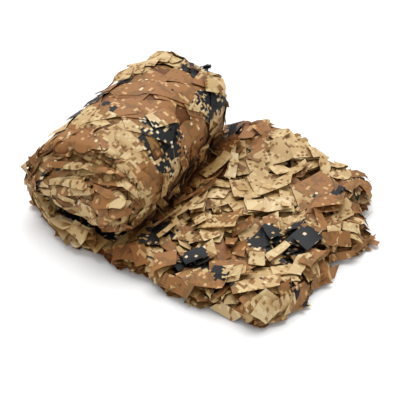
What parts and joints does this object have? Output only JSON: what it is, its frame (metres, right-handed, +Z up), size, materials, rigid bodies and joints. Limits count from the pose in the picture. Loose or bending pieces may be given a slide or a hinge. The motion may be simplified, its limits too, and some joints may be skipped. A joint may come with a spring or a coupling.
{
  "type": "camouflage netting",
  "caption": "Leaf-cut camouflage cloth, folded lengthwise and partly rolled up, with a loose end lying in front of the roll.",
  "frame": {"origin": "on the surface it rests on, in the flat underside of the loose end, below the crease in front of the roll", "axes": "+X from the roll towards the loose end's tip, +Y along the roll's axis away from its hollow end, +Z up"},
  "size_m": [0.4867, 0.4003, 0.1713],
  "materials": {
    "rolled_net": "matt printed polyester cloth",
    "loose_end": "matt printed polyester cloth"
  },
  "bodies": {
    "root": {"rolled_net": "rolled_net", "loose_end": "loose_end"}
  },
  "joints": []
}
